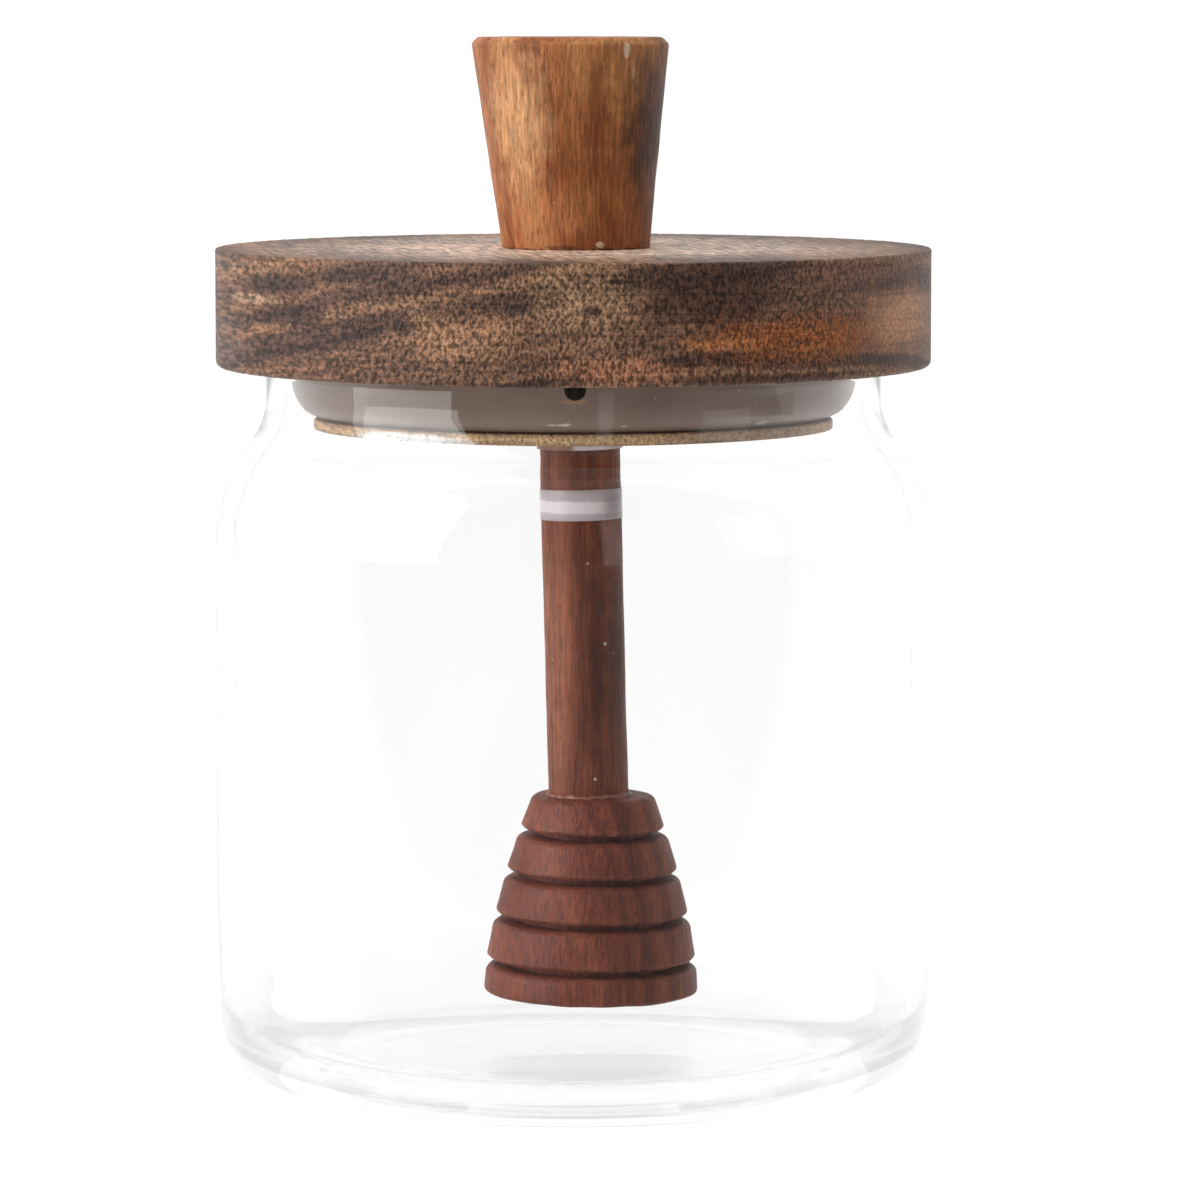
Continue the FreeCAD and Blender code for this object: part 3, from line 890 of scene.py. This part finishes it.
HEAD_WOOD = WoodFinish(
    name="head_redwood", grain=Grain.UPRIGHT,
    tones=((0.35, srgb(99, 48, 34)), (0.5, srgb(120, 60, 43)), (0.65, srgb(138, 75, 54))),
    pore_tone=srgb(52, 26, 23), pith=(-35.0, 0.0, 20.0), ring_pitch=5.0, pore_pitch=0.5, pore_length=3.0,
    pore_strength=0.3, fleck_pitch=0.4, flecks=0.25, fibre_contrast=0.25, fibre_pitch=0.5, relief=0.05,
    # The pale edge wear is raised on the head to also paint the highlight along the rib edges.
    wear=0.5, wear_highlight_and_dust_tone=srgb(170, 116, 98),
)
SEAL_PATCHES = (
    Patch((0.4, -39.5, 97.2), (2.3, 3, 0.55), (176, 132, 96), 0.85, 0.2, 0.5),
    # Painted highlights: broken pale marks along the seal's lower edge.
    Patch((-2, -39, 93.9), (2.2, 3, 0.28), (225, 215, 205), 0.9, 1.4, 0.5),
    Patch((7.5, -38, 93.7), (2.6, 3, 0.3), (215, 205, 195), 0.8, 1.6, 0.5),
    Patch((26, -28, 93.5), (4, 4, 0.35), (200, 190, 182), 0.7, 1.8, 0.5),
)
SEAL_FINISH = SoftFinish("seal_silicone", srgb(132, 110, 96), srgb(142, 120, 106), 0.35, SEAL_PATCHES)
GLUE_FINISH = SoftFinish("glue_dried", srgb(128, 78, 60), srgb(160, 112, 90), 0.45)
# The band is a pale sleeve round the stem that paints in the reflection of a lamp on the jar's shoulder,
# which shows over the stem there.
BAND_REFLECTION_FINISH = FilmAndReflectionFinish(
    "band_painted_reflection",
    axis=2,
    ends=(78.5, 83.3),
    tones=(
        (0.0, srgb(202, 192, 198)), (0.16, srgb(216, 206, 216)), (0.22, srgb(255, 249, 255)),
        (0.52, srgb(255, 250, 255)), (0.58, srgb(214, 202, 210)), (0.8, srgb(204, 192, 198)),
        (0.95, srgb(184, 166, 168)),
    ),
    # Painted shade: the band's right part is painted darker, where the stem lies in shade.
    patches=(Patch((5.4, -2.6, 81), (3.4, 5, 6), (150, 136, 142), 0.85, 0.2, 0.9),),
)
COLLAR_FINISH = FilmAndReflectionFinish(
    "collar_film_pale",
    axis=0,
    ends=(-5.5, 6.5),
    tones=(
        (0.0, srgb(140, 104, 82)), (0.42, srgb(164, 130, 108)), (0.5, srgb(226, 222, 224)),
        (0.8, srgb(236, 233, 236)), (1.0, srgb(170, 160, 160)),
    ),
)


# Sub-assemblies


@dataclass
class Jar:
    """The glass jar: an even wall with a soft shoulder, a short neck and a shallow punt."""

    wall: float = 2.7 * MM
    base_draw: float = 0.44 * MM
    base_rounding: float = 8.2 * MM
    floor_rounding: float = 6.0 * MM
    taper_height: float = 27.0 * MM
    punt_radius: float = 33.0 * MM
    punt_slope: float = 2.5 * MM
    punt_height: float = 1.2 * MM
    punt_rounding: float = 1.5 * MM
    foot_rounding: float = 2.5 * MM
    base_thickness: float = 4.2 * MM
    shoulder_drop: float = 15.9 * MM
    neck_drop: float = 7.65 * MM
    neck_radius: float = 42.8 * MM
    shoulder_rounding: float = 20.5 * MM
    neck_rounding: float = 8.0 * MM
    rim_rounding: float = 1.2 * MM
    turns: int = 256
    rows: float = 6.0 * MM

    def __post_init__(self) -> None:
        """Reads the jar's overall size from the frame."""
        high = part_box("jar")[1]
        self.radius, self.rim = high[0], high[2]

    def outline(self) -> list[Corner]:
        """Returns the half outline of the glass, from the punt out, over the rim and in to the floor."""
        slope = math.atan2(self.radius - self.neck_radius, self.shoulder_drop - self.neck_drop)
        drop = self.wall * math.tan(slope / 2)
        base, inside = self.radius - self.base_draw, self.radius - self.wall
        throat = self.neck_radius - self.wall
        shoulder, neck = self.rim - self.shoulder_drop, self.rim - self.neck_drop
        floor = self.punt_height + self.base_thickness
        return [
            Corner(0.0, self.punt_height),
            Corner(self.punt_radius, self.punt_height, self.punt_rounding),
            Corner(self.punt_radius + self.punt_slope, 0.0, self.foot_rounding),
            Corner(base, 0.0, self.base_rounding, 14),
            Corner(self.radius, self.taper_height),
            Corner(self.radius, shoulder, self.shoulder_rounding, 18),
            Corner(self.neck_radius, neck, self.neck_rounding, 12),
            Corner(self.neck_radius, self.rim, self.rim_rounding, 8),
            Corner(throat, self.rim, self.rim_rounding, 8),
            Corner(throat, neck - drop, self.neck_rounding + self.wall, 12),
            Corner(inside, shoulder - drop, self.shoulder_rounding - self.wall, 18),
            Corner(inside, self.taper_height),
            Corner(base - self.wall, floor, self.floor_rounding, 12),
            Corner(0.0, floor),
        ]

    def build(self) -> None:
        """Builds the glass."""
        mesh = turned(self.outline(), self.turns, rows=self.rows)
        place_piece(mesh, "jar_glass", GlassFinish().material(), "jar", crease=60.0)


@dataclass
class Lid:
    """The wooden lid with its plug, and the soft seal in the plug's groove."""

    effects: SharedEffects
    plug_radius: float = 31.0 * MM
    plug_rim_radius: float = 36.1 * MM
    plug_rounding: float = 0.4 * MM
    top_rounding: float = 0.35 * MM
    low_rounding: float = 0.9 * MM
    fray: float = 0.09 * MM
    fray_pitch: float = 0.7 * MM
    fray_reach: float = 1.2 * MM
    top_fray_reach: float = 0.8 * MM
    seal_draw: float = 2.0 * MM
    seal_rounding: float = 5.5 * MM
    notch_radius: float = 1.45 * MM
    notch_drop: float = 0.9 * MM
    notch_offset: float = 0.4 * MM
    notch_inset: float = 3.0 * MM
    notch_length: float = 12.0 * MM

    def __post_init__(self) -> None:
        """Reads the lid's and the seal's places from the frame."""
        low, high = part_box("lid")
        self.radius, self.top, self.plug_low = high[0], high[2], low[2]
        seal_low, seal_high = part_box("seal")
        self.seal_radius, self.seal_low, self.rim = seal_high[0], seal_low[2], seal_high[2]

    def build(self) -> None:
        """Builds the lid and its seal."""
        self.build_wood()
        self.build_seal()

    def build_wood(self) -> None:
        """Builds the disc with its plug, rough at the edges as sanding leaves it."""
        corners = [
            Corner(0.0, self.plug_low),
            Corner(self.plug_rim_radius, self.plug_low, self.plug_rounding),
            Corner(self.plug_rim_radius, self.seal_low, self.plug_rounding),
            Corner(self.plug_radius, self.seal_low),
            Corner(self.plug_radius, self.rim),
            Corner(self.radius, self.rim, self.low_rounding, 5),
            Corner(self.radius, self.top, self.top_rounding, 4),
            Corner(0.0, self.top),
        ]
        mesh = turned(corners, 512, rows=2.0 * MM)

        def at_edges(point: Vector) -> float:
            """Returns 1 at the disc's upper and lower edge, and 0 away from them."""
            out = near(math.hypot(point.x, point.y), self.radius, self.fray_reach)
            upper = near(point.z, self.top, self.top_fray_reach)
            return out * max(upper, near(point.z, self.rim, self.fray_reach))

        roughen(mesh, self.fray, self.fray_pitch, 3.0, at_edges)
        place_piece(mesh, "lid_wood", LID_WOOD.material(self.effects), "lid")

    def build_seal(self) -> None:
        """Builds the seal, with its half-round notch at the front."""
        corners = [
            Corner(self.plug_radius, self.seal_low),
            Corner(self.seal_radius - self.seal_draw, self.seal_low, self.seal_rounding, 14),
            Corner(self.seal_radius, self.rim),
            Corner(self.plug_radius, self.rim),
        ]
        mesh = turned(corners, 256, closed=True, rows=1.5 * MM)
        finish = SEAL_FINISH.material(self.effects)
        piece = place_piece(mesh, "seal_ring", finish, "seal", crease=50.0)
        cutter = bmesh.new()
        turn = Matrix.Rotation(math.radians(90), 4, "X")
        middle = (self.notch_offset, self.notch_inset - self.seal_radius, self.rim - self.notch_drop)
        bmesh.ops.create_cone(
            cutter, cap_ends=True, segments=40, radius1=self.notch_radius, radius2=self.notch_radius,
            depth=self.notch_length, matrix=Matrix.Translation(middle) @ turn,
        )
        carve(piece, cutter)


def carve(piece: Object, cutter: BMesh) -> None:
    """Cuts a shape out of a piece for good.

    Args:
        piece: The piece to change.
        cutter: The shape to take away, which is freed.
    """
    tool = mesh_object("cutter", cutter)
    cut = piece.modifiers.new("cut", "BOOLEAN")
    cut.operation, cut.solver, cut.object = "DIFFERENCE", "EXACT", tool
    graph = bpy.context.evaluated_depsgraph_get()
    result = bpy.data.meshes.new_from_object(piece.evaluated_get(graph))
    piece.modifiers.clear()
    old, piece.data = piece.data, result
    result.name = piece.name
    for spare in (old, tool.data):
        bpy.data.meshes.remove(spare)


@dataclass
class Dipper:
    """The knob above the lid, and the stem, head, collar and band that hang below it."""

    effects: SharedEffects
    pivot: Place = (0.2 * MM, 0.0, 116.05 * MM)
    lean: float = math.radians(1.4)
    stem_radius: float = 5.6 * MM
    knob_low_radius: float = 10.2 * MM
    knob_top_radius: float = 13.66 * MM
    knob_low_offset: float = 0.35 * MM
    knob_top_offset: float = -0.42 * MM
    knob_chamfer: float = 0.9 * MM
    knob_foot_rounding: float = 0.35 * MM
    knob_fray: float = 0.16 * MM
    small_rounding: float = 0.5 * MM
    stem_end_gap: float = 0.2 * MM
    head_offset: float = 2.4 * MM
    head_base: float = 11.6 * MM
    head_height: float = 27.9 * MM
    head_lean: float = math.radians(0.7)
    head_radius: float = 15.05 * MM
    head_drop: float = 6.6 * MM
    head_curve: float = 1.6
    ribs: int = 5
    first_rib: float = 3.9 * MM
    rib_pitch: float = 6.4 * MM
    rib_closing: float = 0.1 * MM
    groove_width: float = 0.95 * MM
    groove_depth: float = 3.2 * MM
    rib_chamfer: float = 0.45 * MM
    rib_rounding: float = 1.2 * MM
    head_rounding: float = 0.8 * MM
    glue_width: float = 0.55 * MM
    glue_height: float = 0.45 * MM
    glue_overlap: float = 0.1 * MM
    film_rounding: float = 0.06 * MM

    def frame_matrix(self) -> Matrix:
        """Returns the dipper's own frame, whose Z axis runs up the stem from the lid's top."""
        return Matrix.Translation(self.pivot) @ Matrix.Rotation(-self.lean, 4, "Y")

    def build(self) -> None:
        """Builds every piece of the dipper."""
        self.build_knob()
        self.build_stem()
        self.build_head()
        self.build_glue()
        self.build_sleeve("stem_collar", COLLAR_FINISH, hang=0.5 * MM)
        # This sleeve is a painted reflection of a lamp on the jar's shoulder, laid round the stem.
        self.build_sleeve("stem_band", BAND_REFLECTION_FINISH)

    def build_knob(self) -> None:
        """Builds the knob: a taper that leans as it rises, with a frayed foot and a broken edge."""
        low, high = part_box("knob")
        rise = high[2] - low[2]
        corners = [
            Corner(0.0, 0.0),
            Corner(self.knob_low_radius, 0.0, self.knob_foot_rounding, 3),
            Corner(self.knob_top_radius, rise - self.knob_chamfer, self.small_rounding, 3),
            Corner(self.knob_top_radius - self.knob_chamfer, rise, self.small_rounding, 3),
            Corner(0.0, rise),
        ]
        mesh = turned(corners, 288, rows=0.9 * MM)
        roughen(mesh, 0.12 * MM, 5.0 * MM, 11.0)
        roughen(mesh, self.knob_fray, 0.6 * MM, 7.0, lambda point: near(point.z, 0.0, 0.9 * MM))
        slant = Matrix.Identity(4)
        slant[0][2] = (self.knob_top_offset - self.knob_low_offset) / rise
        stand = Matrix.Translation((self.knob_low_offset, 0.0, low[2]))
        bmesh.ops.transform(mesh, matrix=stand @ slant, verts=list(mesh.verts))
        for vert in mesh.verts:
            vert.co.z = min(max(vert.co.z, low[2]), high[2])
        place_piece(mesh, "knob_wood", KNOB_WOOD.material(self.effects), "knob")

    def build_stem(self) -> None:
        """Builds the stem: a dowel that is not quite even along its length."""
        low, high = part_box("stem")
        bottom = (low[2] - self.pivot[2]) * math.cos(self.lean) + self.stem_end_gap
        top = (high[2] - self.pivot[2]) * math.cos(self.lean) - self.stem_end_gap
        corners = [
            Corner(0.0, bottom),
            Corner(self.stem_radius, bottom, self.small_rounding, 3),
            Corner(self.stem_radius, top, self.small_rounding, 3),
            Corner(0.0, top),
        ]
        mesh = turned(corners, 96, rows=1.0 * MM)
        roughen(mesh, 0.07 * MM, 6.0 * MM, 21.0)
        finish = STEM_WOOD.material(self.effects)
        place_piece(mesh, "stem_wood", finish, "stem", stand=self.frame_matrix())

    def head_outline(self, height: float) -> float:
        """Returns the radius of the beehive outline at a height above the head's underside."""
        return self.head_radius - self.head_drop * (height / self.head_height) ** self.head_curve

    def build_head(self) -> None:
        """Builds the ribbed head."""
        corners = [Corner(0.0, 0.0), Corner(self.head_radius, 0.0, self.head_rounding)]
        for rib in range(self.ribs):
            top = self.first_rib + rib * self.rib_pitch - rib * rib * self.rib_closing
            corners.append(Corner(self.head_outline(top), top, self.rib_rounding))
            if rib == self.ribs - 1:
                corners.append(Corner(0.0, top))
                break
            root, under = self.head_outline(top) - self.groove_depth, top + self.groove_width
            side = under + self.rib_chamfer
            corners += [
                Corner(root, top),
                Corner(root, under),
                Corner(self.head_outline(side) - self.rib_chamfer, under, 0.1 * MM, 2),
                Corner(self.head_outline(side), side, 0.2 * MM, 2),
            ]
        mesh = turned(corners, 192, rows=1.2 * MM)
        roughen(mesh, 0.1 * MM, 4.0 * MM, 31.0)
        stand = Matrix.Translation((self.head_offset, 0.0, self.head_base))
        stand @= Matrix.Rotation(self.head_lean, 4, "Y")
        finish = HEAD_WOOD.material(self.effects)
        place_piece(mesh, "head_wood", finish, "head", stand=stand)

    def build_glue(self) -> None:
        """Builds the uneven ring of dried glue round the stem where it enters the head."""
        top = self.first_rib + (self.ribs - 1) * (self.rib_pitch - (self.ribs - 1) * self.rib_closing)
        foot = (self.head_base + top - self.pivot[2]) / math.cos(self.lean)
        corners = [
            Corner(self.stem_radius - self.glue_overlap, foot - self.glue_overlap),
            Corner(self.stem_radius + self.glue_width, foot - self.glue_overlap),
            Corner(self.stem_radius + 0.25 * MM, foot + 0.35 * MM, 0.2 * MM, 3),
            Corner(self.stem_radius - self.glue_overlap, foot + self.glue_height),
        ]
        mesh = turned(corners, 160, closed=True)
        roughen(mesh, 0.3 * MM, 0.8 * MM, 41.0)
        finish = GLUE_FINISH.material(self.effects)
        place_piece(mesh, "glue_ring", finish, stand=self.frame_matrix())

    def build_sleeve(self, node: str, finish: FilmAndReflectionFinish, hang: float = 0.0) -> None:
        """Builds a thin sleeve round the stem.

        Args:
            node: The CAD node that gives its place.
            finish: Its finish.
            hang: How far its lower edge hangs below the node's.
        """
        low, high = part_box(node)
        outside = (high[1] - low[1]) / 2
        reach = outside * math.sin(self.lean)
        bottom = (low[2] + reach - hang - self.pivot[2]) / math.cos(self.lean)
        top = (high[2] - reach - self.pivot[2]) / math.cos(self.lean)
        corners = [
            Corner(self.stem_radius, bottom),
            Corner(outside, bottom, self.film_rounding, 2),
            Corner(outside, top, self.film_rounding, 2),
            Corner(self.stem_radius, top),
        ]
        mesh = turned(corners, 128, closed=True, rows=0.5 * MM)
        made = finish.material(self.effects)
        place_piece(mesh, node, made, node, stand=self.frame_matrix())


@dataclass(frozen=True)
class SoftBox:
    """A lamp with a plain bright face.

    Attributes:
        name: Its name.
        place: Its middle.
        size: Its width and height.
        radiance: How bright its face is, where 1 is white.
        mirrored: True if gloss and glass show it.
    """

    name: str
    place: Place
    size: tuple[float, float]
    radiance: float
    mirrored: bool = False

    def build(self, aim: Place) -> None:
        """Builds the lamp, turned towards a place."""
        data = bpy.data.lights.new(self.name, "AREA")
        data.shape = "RECTANGLE"
        data.size, data.size_y = self.size
        data.energy = self.radiance * math.pi * self.size[0] * self.size[1]
        lamp = add_object(self.name, data)
        lamp.location = self.place
        lamp.visible_glossy = self.mirrored
        lamp.rotation_euler = (Vector(aim) - Vector(self.place)).to_track_quat("-Z", "Y").to_euler()


SOFT_BOXES = (
    SoftBox("left_softbox", (-1.04, -0.46, 0.35), (0.95, 1.3), 3.8, mirrored=True),
    SoftBox("right_fill", (1.15, -0.62, 0.3), (0.5, 0.9), 1.0),
    SoftBox("front_strip", (0.28, -1.3, 0.25), (0.13, 1.2), 0.6, mirrored=True),
    SoftBox("top_softbox", (0.0, -0.1, 1.2), (0.8, 0.8), 2.2),
)


@dataclass
class Studio:
    """A white floor, soft lamps and the camera."""

    camera_place: Place = (0.0037, -0.8406, 0.1516)
    camera_aim: Place = (0.0037, 0.0, 0.0668)
    lens: float = 181.3
    clip_end: float = 200.0
    lamp_aim: Place = (0.0, 0.0, 0.07)
    ambient: float = 0.24
    front_gloss: float = 0.1
    white: float = 1.04
    sky_front: tuple[float, float] = (-0.7, -0.1)
    floor_reach: float = 40.0
    floor_tone: Colour = (0.8, 0.8, 0.8)
    floor_glow: float = 1.2
    floor_share: float = 0.85
    floor_front: tuple[float, float] = (-75.0, -55.0)
    clear_bounces: int = 8
    diffuse_bounces: int = 2

    def build(self) -> None:
        """Builds the floor, the lamps, the world and the camera."""
        scene = bpy.context.scene
        scene.view_settings.view_transform = "Standard"
        for kind in ("max_bounces", "transmission_bounces", "glossy_bounces"):
            setattr(scene.cycles, kind, self.clear_bounces)
        scene.cycles.diffuse_bounces = self.diffuse_bounces
        self.build_floor()
        self.build_world()
        for box in SOFT_BOXES:
            box.build(self.lamp_aim)
        self.build_camera()

    def build_floor(self) -> None:
        """Builds the floor, white to the camera but still shaded by what stands on it."""
        mesh = bmesh.new()
        bmesh.ops.create_grid(mesh, x_segments=1, y_segments=1, size=self.floor_reach)
        floor = mesh_object("floor", mesh)
        graph = MaterialGraph("floor_white")
        graph.material.cycles.emission_sampling = "NONE"
        diffuse = graph.node("BsdfDiffuse", {"Color": self.floor_tone})
        along = graph.node("SeparateXYZ", {0: graph.place}).outputs[1]
        looked_at, white = self.seen(graph, graph.span(along, *self.floor_front))
        strength = graph.math("MULTIPLY", white, self.floor_glow)
        glow = graph.node("Emission", {"Color": (1.0, 1.0, 1.0), "Strength": strength})
        share = graph.math("MULTIPLY", looked_at, self.floor_share)
        mixed = graph.node("MixShader", {0: share, 1: diffuse.outputs[0], 2: glow.outputs[0]})
        floor.data.materials.append(graph.finished(mixed))

    def seen(self, graph: Graph, behind: NodeSocket) -> tuple[NodeSocket, NodeSocket]:
        """Tells how a backdrop shows: white to the eye and through glass, but dim in front of gloss.

        Args:
            graph: The backdrop's graph.
            behind: 1 behind the object, falling to 0 in front of it.

        Returns:
            1 for a ray that looks at the backdrop and 0 for one that gathers light, and how white it is.
        """
        path = graph.node("LightPath").outputs
        bent = graph.math("MAXIMUM", path["Is Glossy Ray"], path["Is Transmission Ray"])
        straight = graph.math("SUBTRACT", 1.0, graph.math("MINIMUM", path["Glossy Depth"], 1.0))
        mirrored = graph.span(behind, 0.0, 1.0, self.front_gloss, 1.0)
        shown = graph.math("MULTIPLY", bent, graph.math("MAXIMUM", straight, mirrored))
        camera = path["Is Camera Ray"]
        return graph.math("MAXIMUM", camera, bent), graph.math("MAXIMUM", camera, shown)

    def build_world(self) -> None:
        """Builds the world: white where it is seen, and a dimmer light on the object."""
        world = bpy.data.worlds.new("studio")
        bpy.context.scene.world = world
        world.use_nodes = True
        world.cycles.sampling_method = "NONE"
        graph = Graph(world.node_tree)
        way = graph.node("SeparateXYZ", {0: graph.node("TexCoord").outputs["Generated"]})
        looked_at, white = self.seen(graph, graph.span(way.outputs[1], *self.sky_front))
        seen_strength = graph.math("MULTIPLY", white, self.white)
        strength = graph.node("Mix", {0: looked_at, 2: self.ambient, 3: seen_strength}).outputs[0]
        sky = graph.node("Background", {"Color": (1.0, 1.0, 1.0), "Strength": strength})
        graph.node("OutputWorld", {"Surface": sky.outputs[0]})

    def build_camera(self) -> None:
        """Builds the camera, a long lens just above the knob that looks slightly down."""
        data = bpy.data.cameras.new("camera")
        data.lens = self.lens
        data.clip_end = self.clip_end
        camera = add_object("camera", data)
        camera.location = self.camera_place
        aim = Vector(self.camera_aim) - Vector(self.camera_place)
        camera.rotation_euler = aim.to_track_quat("-Z", "Y").to_euler()
        bpy.context.scene.camera = camera


def main() -> None:
    """Builds the jar, the lid, the dipper and the studio."""
    logging.basicConfig(level=logging.INFO, format="%(message)s")
    noise.seed_set(NOISE_SEED)
    effects = SharedEffects()
    Jar().build()
    Lid(effects).build()
    Dipper(effects).build()
    Studio().build()


if __name__ == "__main__":
    main()
